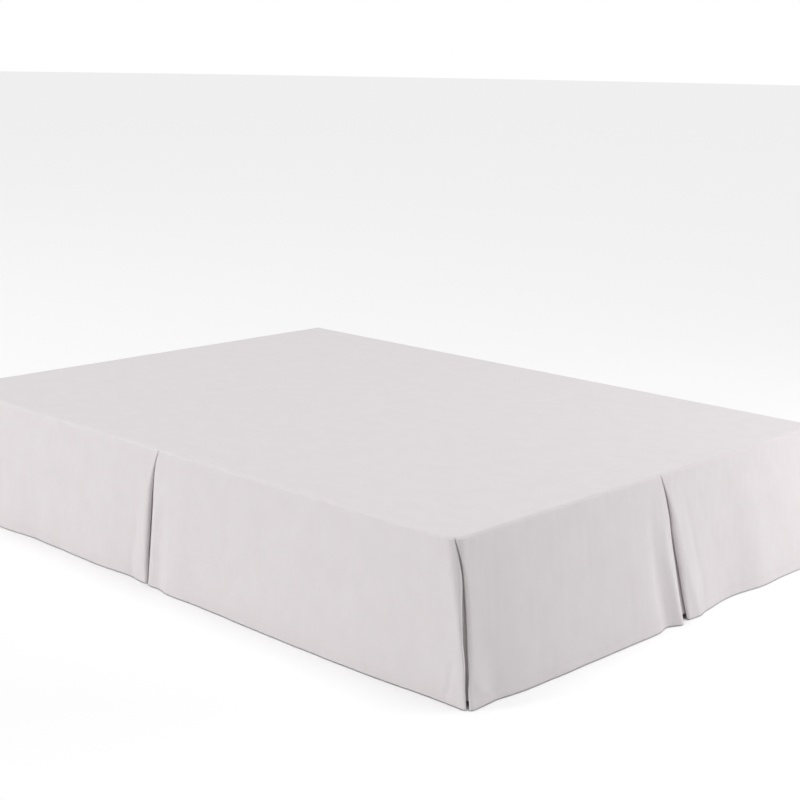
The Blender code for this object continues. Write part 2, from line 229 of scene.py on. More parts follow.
# Creases of the deck as it lies, in metres from its middle, with widths and heights in millimetres
DECK_CREASE_COLUMNS = ("from_x", "from_y", "to_x", "to_y", "bow", "half_width", "height")
DECK_CREASES = (
    (-0.700, -0.335, 0.700, -0.325, 6, 9, 1.3),
    (-0.690, 0.345, 0.700, 0.335, -5, 9, 1.2),
    (0.006, -0.960, -0.004, 0.960, 7, 8, 1.1),
    (-0.740, -0.955, -0.520, -0.720, 14, 16, 1.6),
    (-0.735, -0.800, -0.580, -0.640, 10, 13, 1.2),
    (0.740, -0.960, 0.500, -0.730, -16, 16, 1.5),
    (-0.560, -0.995, -0.500, -0.800, -8, 12, 1.1),
    (0.420, -0.995, 0.385, -0.790, 8, 14, 1.2),
    (-0.150, -0.990, -0.190, -0.740, 9, 15, 1.0),
    (-0.740, 0.110, -0.500, 0.060, 12, 14, 1.1),
    (0.745, 0.200, 0.470, 0.150, -12, 16, 1.3),
    (-0.745, -0.450, -0.560, -0.500, -8, 12, 1.0),
    (0.250, 0.500, 0.480, 0.830, 20, 22, 1.3),
    (-0.480, 0.520, -0.300, 0.900, -18, 24, 1.2),
    (0.180, -0.620, 0.420, -0.420, 14, 20, 1.0),
)

# A crease begins this far outside its ends and takes this long to reach its height, in shares of its
# length
CREASE_OVERRUN = 0.12
CREASE_FADE = 0.45

# Uneven waves of the cloth: their height and lengths in metres, and how far they lean
PANEL_WAVES = (0.0011, (0.36, 0.23, 0.15, 0.11), 0.35)
SURFACE_WAVES = (0.00022, (0.050, 0.037, 0.027), 0.6)
SEAM_WAVES = (0.00040, (0.031, 0.022, 0.016), 0.3)
HEM_WAVES = (0.00030, (0.027, 0.018, 0.013), 0.3)
UNDERLAY_WAVES = (0.0009, (0.19, 0.12, 0.07), 0.3)
DECK_WAVES = (0.0004, (0.46, 0.29, 0.17), 1.0)
DECK_EDGE_WAVES = (0.00025, (0.060, 0.043), 0.8)

# How the waves grow down the drop, and how far from the seam, the hem or the edge they reach
PANEL_WAVE_GROWTH = 0.7
SEAM_WAVE_REACH = 0.016
HEM_WAVE_REACH = 0.020
UNDERLAY_WAVE_START = 0.05
DECK_EDGE_WAVE_REACH = 0.03

# The camera stands off the bed's near floor corner, as the photograph was taken
CAMERA_FROM_CORNER = (-2.400, -2.111, 1.387)
CAMERA_YAW = math.radians(46.464)
CAMERA_PITCH = math.radians(12.849)
CAMERA_ROLL = math.radians(1.021)
CAMERA_LENS_MM = 70.66
CAMERA_SENSOR_MM = 36.0

# The stage and its light. A window is given by its place, the point it faces, its size and its power.
FLOOR_RADIUS = 60.0
AMBIENT = 0.24
SKY_LIGHT = 2.2
SKY_ANGLE = math.radians(60)
SKY_PLACE = (0.3, 0.3, 6.0)
WINDOW_COLUMNS = ("place", "faces", "size", "power")
WINDOWS = {
    "head_window": ((-9.0, 5.2, 2.4), (-0.8, 0.0, 0.2), (3.9, 2.5), 420),
    "foot_window": ((2.0, -2.6, 0.9), (0.5, -1.1, 0.2), (1.4, 1.1), 30),
}

# A millimetre of the tables, in metres
MM = 0.001


def between(table, column, row_column, at):
    """Values of a table's column at places between its rows, on a smooth curve through them."""
    places = np.array(table[row_column], float)
    values = np.array(table[column], float)
    slopes = np.gradient(values, places)
    at = np.clip(at, places[0], places[-1])
    i = np.clip(np.searchsorted(places, at) - 1, 0, len(places) - 2)
    step = places[i + 1] - places[i]
    u = (at - places[i]) / step
    start = (1 + 2 * u) * (1 - u) ** 2 * values[i] + u * (1 - u) ** 2 * step * slopes[i]
    end = u * u * (3 - 2 * u) * values[i + 1] + u * u * (u - 1) * step * slopes[i + 1]
    return start + end


def smooth(share):
    """0 below 0, 1 above 1, and a soft step between."""
    share = np.clip(share, 0.0, 1.0)
    return share * share * (3 - 2 * share)


def fold_offset(folds, along, drop):
    """The outward push of all the soft folds of one side at a place on its drop."""
    push = 0.0
    for middle, half_width, depth, begins in zip(*folds.values()):
        growth = np.maximum(0.0, (drop - begins) / (1 - begins)) ** 1.5
        beside = (along - MM * middle) / (MM * half_width)
        push = push + MM * depth * growth * np.exp(-beside * beside)
    return push


def side_out(along, drop):
    return MM * between(SIDE_HEM, "out", "along", along) * drop + fold_offset(SIDE_FOLDS, along, drop)


def foot_out(along, drop):
    return MM * between(FOOT_HEM, "out", "along", along) * drop + fold_offset(FOOT_FOLDS, along, drop)


def corner_radius(drop):
    """The radius on which the face turns a foot corner."""
    return CORNER_RADIUS_HEM + (CORNER_RADIUS_SEAM - CORNER_RADIUS_HEM) * (1 - drop) ** CORNER_SHARPENING


class Side:
    """One side of the skirt: its length, how its cloth stands out, and where its corners are."""

    def __init__(self, length, out, neighbour_out, corner_at_end, to_world):
        self.length = length
        self.out = out
        self.neighbour_out = neighbour_out
        self.corner_at_end = corner_at_end
        self.to_world = to_world

    def corner_middle(self, drop):
        """Where this side's half of the corner's arc begins, along the face."""
        return corner_radius(drop) * (1 - math.pi / 4) - self.neighbour_out(0.0, drop)

    def plan(self, along, drop, depth):
        """(along, out) of a layer that lies a depth behind the face, carried round the corners."""
        from_end = (along > self.length / 2) & self.corner_at_end
        near = np.where(from_end, self.length - along, along)
        radius = corner_radius(drop)
        arc_start = radius - self.neighbour_out(0.0, drop)
        turn = np.maximum(0.0, (arc_start - near) / radius)
        reach = radius - depth
        on_arc = near < arc_start
        near_there = np.where(on_arc, arc_start - reach * np.sin(turn), near)
        out_on_arc = self.out(0.0, drop) - radius + reach * np.cos(turn)
        out = np.where(on_arc, out_on_arc, self.out(along, drop) - depth)
        return np.where(from_end, self.length - near_there, near_there), out

    def points(self, along, drop, depth, height):
        """The points of a layer, in the bed's axes."""
        place, out = self.plan(along, drop, depth)
        return self.to_world(place, out, height + 0.0 * place)


def left_world(along, out, height):
    return np.stack([-BED_WIDTH / 2 - out, along - BED_LENGTH / 2 + BED_MIDDLE_Y, height], -1)


def right_world(along, out, height):
    return np.stack([BED_WIDTH / 2 + out, along - BED_LENGTH / 2 + BED_MIDDLE_Y, height], -1)


def foot_world(along, out, height):
    return np.stack([along - BED_WIDTH / 2, -BED_LENGTH / 2 - out + BED_MIDDLE_Y, height], -1)


LEFT = Side(BED_LENGTH, side_out, foot_out, False, left_world)
RIGHT = Side(BED_LENGTH, side_out, foot_out, False, right_world)
FOOT = Side(BED_WIDTH, foot_out, side_out, True, foot_world)


def drop_at(height, lift=HEM_LIFT):
    """The drop at a height, for cloth whose hem hangs this far above the floor."""
    return np.clip((UNDER_DECK - height) / (UNDER_DECK - lift), 0.0, 1.0)


def down_pleat(pleat, column, drop):
    """A column of a pleat's table at a place down the drop, in metres."""
    return MM * between(pleat, column, "drop", drop)


def underlay_depth(pleat, drop):
    """How far behind the face an underlay hangs, clear of the turned-back edges."""
    return LAYER / 2 + down_pleat(pleat, "fold_depth", drop) + LAYER_STEP + UNDERLAY_EASE * drop ** 2


def crease_push(columns, rows, across, down, down_scale):
    """The push of soft creases at places that are given across and down, in metres."""
    push = np.zeros(np.broadcast(across, down).shape)
    for row in rows:
        crease = dict(zip(columns, row))
        start_across, start_down, end_across, end_down = row[:4]
        way = np.array([end_across - start_across, (end_down - start_down) * down_scale])
        length = np.hypot(*way)
        way = way / length
        from_start = (across - start_across, down - start_down * down_scale)
        share = (from_start[0] * way[0] + from_start[1] * way[1]) / length
        inside = np.clip(share, 0.0, 1.0)
        bow = MM * crease["bow"] * 4 * inside * (1 - inside)
        beside = (from_start[0] * way[1] - from_start[1] * way[0] - bow) / (MM * crease["half_width"])
        from_ends = (share + CREASE_OVERRUN, 1 + CREASE_OVERRUN - share)
        fade = smooth(from_ends[0] / CREASE_FADE) * smooth(from_ends[1] / CREASE_FADE)
        push += MM * crease["height"] * fade * np.exp(-beside * beside)
    return push


def waves(across, down, kind, seed):
    """Uneven soft waves of about the lengths of their kind, up to its height either way."""
    height, lengths, most_lean = kind
    random = np.random.default_rng(seed)
    total = 0.0
    for length in lengths:
        lean, phase = random.uniform(-most_lean, most_lean), random.uniform(0, 2 * math.pi)
        total = total + np.sin(2 * math.pi * (across + lean * down) / length + phase)
    return height * total / len(lengths)


def raised_waves(across, down, kind, seed):
    """Waves lifted by their height, so that none dips below the surface."""
    return kind[0] + waves(across, down, kind, seed)


def drop_relief(name, seed, along, drop, height):
    """How far the fine form of a drop panel stands out from its main folds."""
    down = UNDER_DECK - height
    above_hem = height - HEM_LIFT
    push = crease_push(CREASE_COLUMNS, CREASES[name], along, down, UNDER_DECK - HEM_LIFT)
    push += drop ** PANEL_WAVE_GROWTH * waves(along, down, PANEL_WAVES, seed)
    push += waves(along, down, SURFACE_WAVES, seed + 1)
    push += np.exp(-down / SEAM_WAVE_REACH) * waves(along, down, SEAM_WAVES, seed + 2)
    push += np.exp(-above_hem / HEM_WAVE_REACH) * waves(along, down, HEM_WAVES, seed + 3)
    groove = (above_hem - HEM_STITCH_HEIGHT) / STITCH_DENT_REACH
    return push - STITCH_DENT * np.exp(-groove * groove)


def seam_profile(angles):
    """Heights and inward tucks of cloth that rounds over the deck's edge and is drawn into the seam."""
    from_seam = SEAM_ROUND * np.abs(angles - SEAM_ANGLE)
    pinch = SEAM_PINCH * np.exp(-(from_seam / SEAM_PINCH_REACH) ** 2)
    reach = SEAM_ROUND - pinch
    heights = DECK_TOP - SEAM_ROUND + reach * np.sin(angles)
    tucks = SEAM_ROUND - reach * np.cos(angles)
    return heights, tucks


def drop_rows():
    """Heights and inward tucks of the rows of a drop panel, from its seam to its hem."""
    heights, tucks = seam_profile(np.linspace(SEAM_ANGLE, 0.0, SEAM_ROWS))
    top = DECK_TOP - SEAM_ROUND
    fine_top = HEM_LIFT + HEM_STITCH_HEIGHT + FINE_ROWS_EACH_SIDE * FINE_ROW_STEP
    fine_bottom = HEM_LIFT + HEM_STITCH_HEIGHT - FINE_ROWS_EACH_SIDE * FINE_ROW_STEP
    coarse = np.linspace(top, fine_top, round((top - fine_top) / ROW_STEP) + 1)[1:]
    fine = np.linspace(fine_top, fine_bottom, 2 * FINE_ROWS_EACH_SIDE + 1)[1:]
    lowest = np.linspace(fine_bottom, HEM_LIFT, LOWEST_ROWS + 1)[1:]
    straight = np.concatenate([coarse, fine, lowest])
    return np.concatenate([heights, straight]), np.concatenate([tucks, 0.0 * straight])


class FoldedEdge:
    """An end of a drop panel that rolls over and back behind it, at a place along its side at each drop."""

    def __init__(self, place, inwards, pleat, roll, return_width):
        self.place = place
        self.inwards = inwards
        self.pleat = pleat
        self.roll = roll
        self.return_width = return_width

    def layer(self, drop, share, turn):
        """(along, depth) part way round the fold, or a share of the way back along the return."""
        fold_depth = down_pleat(self.pleat, "fold_depth", drop)
        tight = TIGHT_TURN * fold_depth
        rolled = fold_depth - tight
        if turn < math.pi / 2:
            width = down_pleat(self.pleat, self.roll, drop)
            depth = rolled * (1 - math.cos(turn))
        else:
            width = tight
            depth = rolled - tight * math.cos(turn)
        from_edge = LAYER / 2 + width * (1 - math.sin(turn)) + share * self.return_width
        depth = depth + LAYER / 2 + (LAYER_STEP - fold_depth) * RETURN_DRIFT * share
        return self.place(drop) + self.inwards * from_edge, depth

    def columns(self, drop):
        """(along, depth) of each column, from the cloth's end to its face."""
        returns = [(1 - i / RETURN_STEPS, math.pi) for i in range(RETURN_STEPS)]
        turns = [(0.0, math.pi * (1 - i / FOLD_STEPS)) for i in range(FOLD_STEPS)]
        return [self.layer(drop, share, turn) for share, turn in returns + turns]


def corner_edge(side, name):
    """The folded edge of a panel at its side's first corner."""
    def place(drop):
        return side.corner_middle(drop) + SEAM_GAP / 2 + down_pleat(CORNER_PLEAT, f"{name}_edge", drop)
    return FoldedEdge(place, 1, CORNER_PLEAT, f"{name}_roll", RETURN_WIDTH)


def far_corner_edge(side, name):
    """The folded edge of a panel at its side's last corner."""
    near = corner_edge(side, name).place

    def place(drop):
        return side.length - near(drop)
    return FoldedEdge(place, -1, CORNER_PLEAT, f"{name}_roll", RETURN_WIDTH)


def pleat_edge(side, pleat, name, inwards):
    """The folded edge of a panel beside the pleat at the middle of its side."""
    def place(drop):
        return side.length / 2 + down_pleat(pleat, f"{name}_edge", drop)
    return FoldedEdge(place, inwards, pleat, f"{name}_roll", RETURN_WIDTH)


def head_edge(side):
    """The narrow side hem of a panel at the bed's head."""
    return FoldedEdge(lambda drop: side.length + 0.0 * drop, -1, HEAD_HEM, "roll", HEAD_HEM_WIDTH)


def grid_normals(points):
    """Unit normals of a grid of points: across it, crossed with down it."""
    across = np.gradient(points, axis=1)
    down = np.gradient(points, axis=0)
    normals = np.cross(across, down)
    return normals / np.linalg.norm(normals, axis=-1, keepdims=True)


def turned_hem(points, width, wrong_side):
    """Rows that carry a grid on past its last row, round a tight fold and back up on its wrong side."""
    normals = wrong_side * grid_normals(points)
    down = points[-1] - points[-2]
    down = down / np.linalg.norm(down, axis=-1, keepdims=True)
    rows = []
    for i in range(1, HEM_TURN_STEPS + 1):
        turn = math.pi * i / HEM_TURN_STEPS
        behind = HEM_FOLD_RADIUS * (1 - math.cos(turn))
        below = HEM_FOLD_RADIUS * math.sin(turn)
        rows.append(points[-1] + behind * normals[-1] + below * down)
    i = 2
    while np.linalg.norm(points[-i] - points[-1], axis=-1).mean() < width:
        rows.append(points[-i] + 2 * HEM_FOLD_RADIUS * normals[-i])
        i += 1
    return np.array(rows)


def lengths_along(points):
    """The way along a line of points from its first, at each point."""
    steps = np.linalg.norm(np.diff(points, axis=0), axis=-1)
    return np.concatenate([[0.0], np.cumsum(steps)])


def make_cloth(name, points, material):
    """A thin cloth on a grid of points, with the way along and down it in metres as its map."""
    rows, columns = points.shape[:2]
    index = np.arange(rows * columns).reshape(rows, columns)
    corners = (index[:-1, :-1], index[:-1, 1:], index[1:, 1:], index[1:, :-1])
    faces = np.stack(corners, -1).reshape(-1, 4)
    mesh = bpy.data.meshes.new(name)
    mesh.from_pydata(points.reshape(-1, 3).tolist(), [], faces.tolist())
    across = lengths_along(points[rows // 2])
    down = lengths_along(points[:, columns // 2])
    places = np.stack(np.broadcast_arrays(across[None, :], down[:, None]), -1).reshape(-1, 2)
    layer = mesh.uv_layers.new(name="cloth")
    loops = np.zeros(len(mesh.loops), np.int32)
    mesh.loops.foreach_get("vertex_index", loops)
    layer.data.foreach_set("uv", places[loops].astype(np.float32).ravel())
    mesh.shade_smooth()
    mesh.materials.append(material)
    cloth = bpy.data.objects.new(name, mesh)
    bpy.context.scene.collection.objects.link(cloth)
    thickness = cloth.modifiers.new("thickness", "SOLIDIFY")
    thickness.thickness = CLOTH
    thickness.offset = 0
    return cloth


def stitch_shape():
    """One stitch lying along X, proud of Z = 0, with its ends in the cloth: its points and faces.

    Each station is a share of its length from its middle, with the thread's radius and lift there.
    """
    sides = 5
    stations = ((-0.50, 0.06, -0.16), (-0.30, 0.17, 0.06), (0.30, 0.17, 0.06), (0.50, 0.06, -0.16))
    points = []
    for along, radius, lift in stations:
        for i in range(sides):
            turn = 2 * math.pi * i / sides
            across = MM * radius * math.cos(turn)
            points.append((along * STITCH_LENGTH, across, MM * (lift + radius * math.sin(turn))))
    faces = []
    for ring in range(len(stations) - 1):
        for i in range(sides):
            j = (i + 1) % sides
            faces.append((ring * sides + i, ring * sides + j, (ring + 1) * sides + j, (ring + 1) * sides + i))
    last = (len(stations) - 1) * sides
    faces += [tuple(reversed(range(sides))), tuple(range(last, last + sides))]
    return np.array(points), faces


def sew(name, lines, material):
    """Stitches along lines, each given by the cloth's points and outward normals beside it."""
    shape, shape_faces = stitch_shape()
    points, faces = [], []
    for line, normals in lines:
        way = lengths_along(line)
        middles = np.arange(STITCH_PITCH, way[-1] - STITCH_PITCH, STITCH_PITCH)
        at = [np.interp(middles, way, line[:, axis]) for axis in range(3)]
        place = np.stack(at, -1) + CLOTH / 2 * normal_at(middles, way, normals)
        ahead = np.gradient(place, axis=0)
        ahead = ahead / np.linalg.norm(ahead, axis=-1, keepdims=True)
        up = normal_at(middles, way, normals)
        beside = np.cross(up, ahead)
        for i in range(len(middles)):
            start = len(points) * len(shape)
            points.append(place[i] + shape @ np.stack([ahead[i], beside[i], up[i]]))
            faces += [tuple(start + corner for corner in face) for face in shape_faces]
    mesh = bpy.data.meshes.new(name)
    mesh.from_pydata(np.concatenate(points).tolist(), [], faces)
    mesh.shade_smooth()
    mesh.materials.append(material)
    thread = bpy.data.objects.new(name, mesh)
    bpy.context.scene.collection.objects.link(thread)
    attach(thread, "root")
    return thread


def normal_at(middles, way, normals):
    """Unit normals at places along a line whose points have these normals."""
    found = np.stack([np.interp(middles, way, normals[:, axis]) for axis in range(3)], -1)
    return found / np.linalg.norm(found, axis=-1, keepdims=True)


def place_sheet(cloth, node):
    """Hang a cloth under the root body and hide the solid that it stands for."""
    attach(cloth, "root")
    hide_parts(node)


def nearest(places, wanted):
    """The index of the place that is nearest to the wanted one."""
    return int(np.argmin(np.abs(places - wanted)))


def face_shares(length):
    """Shares across a face, closer together at both its ends."""
    steps = round(length / FACE_STEP)
    even = np.arange(steps + 1) / steps
    eased = (1 - np.cos(math.pi * even)) / 2
    return FACE_EVENNESS * even + (1 - FACE_EVENNESS) * eased


def make_drop(node, side, start_edge, end_edge, seed, materials):
    """A drop panel between two folded edges, with its turned hem and its sewing."""
    heights, tucks = drop_rows()
    drop = drop_at(heights)
    start = start_edge.layer(drop, 0.0, 0.0)[0]
    end = end_edge.layer(drop, 0.0, 0.0)[0]
    shares = face_shares(np.mean(end - start))
    columns = start_edge.columns(drop)
    first_face = len(columns)
    columns += [(start + (end - start) * share, LAYER / 2 + 0.0 * drop) for share in shares]
    last_face = len(columns) - 1
    columns += reversed(end_edge.columns(drop))
    along = np.stack([column[0] for column in columns], 1)
    depth = np.stack([column[1] for column in columns], 1)
    height = heights[:, None]
    level = drop[:, None]
    relief = drop_relief(node, seed, np.clip(along, start[:, None], end[:, None]), level, height)
    relief = relief * smooth((DECK_TOP - height) / (2 * SEAM_ROUND))
    points = side.points(along, level, depth + tucks[:, None] - relief, height)
    wrong_side = -1 if side is LEFT else 1
    hem = turned_hem(points, HEM_WIDTH, wrong_side)
    cloth = make_cloth(f"{node}_cloth", np.concatenate([points, hem]), materials["cloth"])
    normals = -wrong_side * grid_normals(points)
    row = nearest(heights, HEM_LIFT + HEM_STITCH_HEIGHT)
    face = slice(first_face, last_face + 1)
    lines = [(points[row, face], normals[row, face])]
    if end_edge.return_width == HEAD_HEM_WIDTH:
        column = first_face + nearest(along[0, face], end[0] - HEAD_STITCH_IN)
        lines.append((points[SEAM_ROWS:, column], normals[SEAM_ROWS:, column]))
    thread = sew(f"{node}_stitches", lines, materials["thread"])
    place_sheet(cloth, node)


def make_drops(materials):
    for name, side, seed in (("left", LEFT, 10), ("right", RIGHT, 20)):
        corner = corner_edge(side, "side")
        before_pleat = pleat_edge(side, SIDE_PLEAT, "foot", -1)
        after_pleat = pleat_edge(side, SIDE_PLEAT, "head", 1)
        make_drop(f"drop_{name}_foot", side, corner, before_pleat, seed, materials)
        make_drop(f"drop_{name}_head", side, after_pleat, head_edge(side), seed + 5, materials)
    corner = corner_edge(FOOT, "foot")
    far_corner = far_corner_edge(FOOT, "foot")
    before_pleat = pleat_edge(FOOT, FOOT_PLEAT, "left", -1)
    after_pleat = pleat_edge(FOOT, FOOT_PLEAT, "right", 1)
    make_drop("drop_foot_left", FOOT, corner, before_pleat, 30, materials)
    make_drop("drop_foot_right", FOOT, after_pleat, far_corner, 35, materials)


def underlay_heights():
    return np.linspace(UNDER_DECK, UNDERLAY_LIFT, UNDERLAY_ROWS + 1)


def underlay_relief(across, heights, seed):
    down = UNDER_DECK - heights
    return waves(across, down, UNDERLAY_WAVES, seed) * smooth(down / UNDERLAY_WAVE_START)


def make_pleat_underlay(node, side, pleat, seed, materials):
    """The strip behind the pleat at the middle of a side."""
    heights = underlay_heights()[:, None]
    level = drop_at(heights, UNDERLAY_LIFT)
    across = np.linspace(-UNDERLAY_REACH, UNDERLAY_REACH, UNDERLAY_STEPS + 1)[None, :]
    depth = underlay_depth(pleat, level) + underlay_relief(across, heights, seed)
    points = side.points(side.length / 2 + across + 0.0 * level, level, depth, heights)
    hem = turned_hem(points, HEM_WIDTH, -1 if side is LEFT else 1)
    cloth = make_cloth(f"{node}_cloth", np.concatenate([points, hem]), materials["cloth"])
    place_sheet(cloth, node)


def make_corner_underlay(node, to_world, seed, materials):
    """The strip behind a corner's pleat: it hangs round the corner on an arc of its own."""
    heights = underlay_heights()[:, None]
    level = drop_at(heights, UNDERLAY_LIFT)
    arc = CORNER_RADIUS_SEAM - underlay_depth(CORNER_PLEAT, 0.0)
    arms = UNDERLAY_REACH * np.arange(1, CORNER_ARM_STEPS + 1) / CORNER_ARM_STEPS
    turns = math.pi / 2 * np.arange(CORNER_ARC_STEPS + 1) / CORNER_ARC_STEPS
    none = np.zeros(CORNER_ARM_STEPS)
    along_side = np.concatenate([arms[::-1], 0.0 * turns, none])[None, :]
    along_foot = np.concatenate([none, 0.0 * turns, arms])[None, :]
    turn = np.concatenate([none, turns, none + math.pi / 2])[None, :]
    depth = underlay_depth(CORNER_PLEAT, level) + underlay_relief(along_foot - along_side, heights, seed)
    along = arc * (1 - np.sin(turn)) + along_side + depth - foot_out(0.0, level)
    out = side_out(0.0, level) - depth - arc * (1 - np.cos(turn)) - along_foot
    points = to_world(along, out, heights + 0.0 * along)
    hem = turned_hem(points, HEM_WIDTH, 1 if to_world is left_world else -1)
    cloth = make_cloth(f"{node}_cloth", np.concatenate([points, hem]), materials["cloth"])
    place_sheet(cloth, node)


def make_underlays(materials):
    make_pleat_underlay("underlay_left", LEFT, SIDE_PLEAT, 41, materials)
    make_pleat_underlay("underlay_right", RIGHT, SIDE_PLEAT, 42, materials)
    make_pleat_underlay("underlay_foot", FOOT, FOOT_PLEAT, 43, materials)
    make_corner_underlay("underlay_left_corner", left_world, 44, materials)
    make_corner_underlay("underlay_right_corner", right_world, 45, materials)


def edge_places(start, step, length):
    """Distances from an edge that grow from a start to an even step, up to a length."""
    places = [start]
    while places[-1] < length:
        places.append(places[-1] + min(step, DECK_STEP_GROWTH * places[-1] + DECK_FIRST_STEP))
    places = np.array(places)
    return start + (places - start) * (length - start) / (places[-1] - start)


def deck_places(seam_in):
    """The deck's places: across it, from its foot, and how far inside its edge each one is."""
    radius = CORNER_RADIUS_SEAM
    half_width = BED_WIDTH / 2
    strip_start = BED_LENGTH - HEAD_STRIP
    from_foot = edge_places(seam_in, DECK_STEP, strip_start)
    near_head = np.linspace(strip_start, BED_LENGTH, HEAD_STRIP_ROWS + 1)[1:]
    from_foot = np.concatenate([from_foot, near_head])[:, None]
    corner = np.clip(radius - from_foot, 0.0, radius - seam_in)
    cut = (radius - seam_in) - np.sqrt(np.maximum(0.0, (radius - seam_in) ** 2 - corner ** 2))
    reach = half_width - seam_in - cut
    from_side = edge_places(seam_in, DECK_STEP, half_width)
    shares = 1 - (from_side - seam_in) / (half_width - seam_in)
    shares = np.concatenate([-shares, shares[-2::-1]])[None, :]
    x = reach * shares
    beside = half_width - np.abs(x)
    near_corner = (beside < radius) & (from_foot < radius)
    in_corner = radius - np.hypot(radius - np.minimum(beside, radius), radius - np.minimum(from_foot, radius))
    inside = np.where(near_corner, in_corner, np.minimum(beside, from_foot))
    return x, from_foot, inside


def deck_height(x, y, inside, seam_in, from_head):
    """The deck's height: rounded over at its edge, drawn into the seam, creased, thicker at its hem."""
    over = np.maximum(0.0, SEAM_ROUND - inside)
    rounded = np.sqrt(np.maximum(0.0, SEAM_ROUND ** 2 - over ** 2))
    pinch = (inside - seam_in) / SEAM_PINCH_REACH
    height = DECK_TOP - CLOTH / 2 - SEAM_ROUND + rounded - SEAM_PINCH * np.exp(-pinch * pinch)
    push = np.maximum(0.0, crease_push(DECK_CREASE_COLUMNS, DECK_CREASES, x, y, 1.0))
    push += raised_waves(x, y, DECK_WAVES, 51)
    push += raised_waves(x, y, DECK_EDGE_WAVES, 52) * np.exp(-inside / DECK_EDGE_WAVE_REACH)
    over_hem = HEAD_HEM_LIFT * smooth(1 - from_head / HEAD_HEM_LIFT_REACH)
    return height + push * smooth(inside / (3 * SEAM_ROUND)) + over_hem


def make_deck(materials):
    """The deck as it lies on the base, rounded over into its seams, with a narrow hem at the head."""
    seam_in = seam_profile(np.array([SEAM_ANGLE]))[1][0]
    x, from_foot, inside = deck_places(seam_in)
    y = from_foot - BED_LENGTH / 2 + 0.0 * x
    from_head = BED_LENGTH - from_foot
    z = deck_height(x, y, inside, seam_in, from_head)
    points = np.stack([x, y + BED_MIDDLE_Y, z], -1)
    hem = turned_hem(points, HEAD_HEM_WIDTH, -1)
    cloth = make_cloth("deck_cloth", np.concatenate([points, hem]), materials["cloth"])
    row = nearest(from_head[:, 0], HEAD_STITCH_IN)
    lines = [(points[row, 3:-3], grid_normals(points)[row, 3:-3])]
    thread = sew("deck_stitches", lines, materials["thread"])
    place_sheet(cloth, "deck")


def add(tree, kind, inputs=None, **settings):
    """A new node with its settings and its inputs, each a value or the socket that feeds it."""
    made = tree.nodes.new(kind)
    for name, value in settings.items():
        setattr(made, name, value)
    for name, value in (inputs or {}).items():
        if isinstance(value, bpy.types.NodeSocket):
            tree.links.new(value, made.inputs[name])
        else:
            made.inputs[name].default_value = value
    return made


def new_material(name, roughness, color):
    """A material with its node tree and its shader."""
    material = bpy.data.materials.new(name)
    material.use_nodes = True
    shader = material.node_tree.nodes["Principled BSDF"]
    shader.inputs["Roughness"].default_value = roughness
    shader.inputs["Base Color"].default_value = (*color, 1.0)
    return material, material.node_tree, shader


def noise(tree, place, stretch, detail=2.0, roughness=0.5):
    """Noise of a size in each direction: stretch holds how many of its cells go in a metre."""
    scaled = add(tree, "ShaderNodeMapping", {"Vector": place, "Scale": stretch})
    return add(tree, "ShaderNodeTexNoise", {
        "Vector": scaled.outputs[0], "Scale": 1.0, "Detail": detail, "Roughness": roughness,
    }).outputs[0]


def maths(tree, operation, first, second):
    """The socket of a sum, a product or a sine of sockets or values."""
    return add(tree, "ShaderNodeMath", {0: first, 1: second}, operation=operation).outputs[0]


def weighted(tree, parts):
    """The sum of sockets, each times its weight."""
    total = 0.0
    for socket, weight in parts:
        total = maths(tree, "ADD", maths(tree, "MULTIPLY", socket, weight), total)
    return total


def plain_weave(tree, place, pitch):
    """Threads over and under each other, a pitch apart, as heights between -1 and 1."""
    split = add(tree, "ShaderNodeSeparateXYZ", {0: place})
    turns = math.pi / pitch
    across = maths(tree, "SINE", maths(tree, "MULTIPLY", split.outputs[0], turns), 0.0)
    down = maths(tree, "SINE", maths(tree, "MULTIPLY", split.outputs[1], turns), 0.0)
    return maths(tree, "MULTIPLY", across, down)


def color_from(tree, factor, dark, light):
    """A colour between a dark and a light one."""
    ramp = add(tree, "ShaderNodeValToRGB", {"Fac": factor})
    ramp.color_ramp.elements[0].color = (*dark, 1.0)
    ramp.color_ramp.elements[1].color = (*light, 1.0)
    return ramp.outputs[0]


def finish_material(tree, shader, color, height):
    """The colour and the bump, whose heights are in metres."""
    tree.links.new(color, shader.inputs["Base Color"])
    bump = add(tree, "ShaderNodeBump", {"Height": height, "Distance": 1.0, "Strength": 1.0})
    tree.links.new(bump.outputs[0], shader.inputs["Normal"])


def cloth_material():
    """Pale grey brushed plain weave, with a soft nap."""
    material, tree, shader = new_material("skirt_cloth_fine", 0.88, (0.71, 0.68, 0.69))
    shader.inputs["Sheen Weight"].default_value = 0.22
    shader.inputs["Sheen Roughness"].default_value = 0.45
    shader.inputs["Specular IOR Level"].default_value = 0.25
    place = add(tree, "ShaderNodeUVMap", uv_map="cloth").outputs[0]
    nap = noise(tree, place, (22, 16, 1), 3.0)
    warp = noise(tree, place, (1100, 45, 1), 2.0)
    weft = noise(tree, place, (45, 1100, 1), 2.0)
    fibre = noise(tree, place, (480, 420, 1), 2.0, 0.6)
    crumple = noise(tree, place, (38, 30, 1), 4.0, 0.45)
    weave = plain_weave(tree, place, 0.00042)
    tone = weighted(tree, [(nap, 0.40), (warp, 0.22), (weft, 0.18), (fibre, 0.20)])
    color = color_from(tree, tone, (0.645, 0.603, 0.614), (0.765, 0.726, 0.735))
    height = weighted(tree, [
        (weave, 0.000035), (fibre, 0.00006), (warp, 0.00003), (weft, 0.00003), (crumple, 0.00045),
    ])
    finish_material(tree, shader, color, height)
    return material


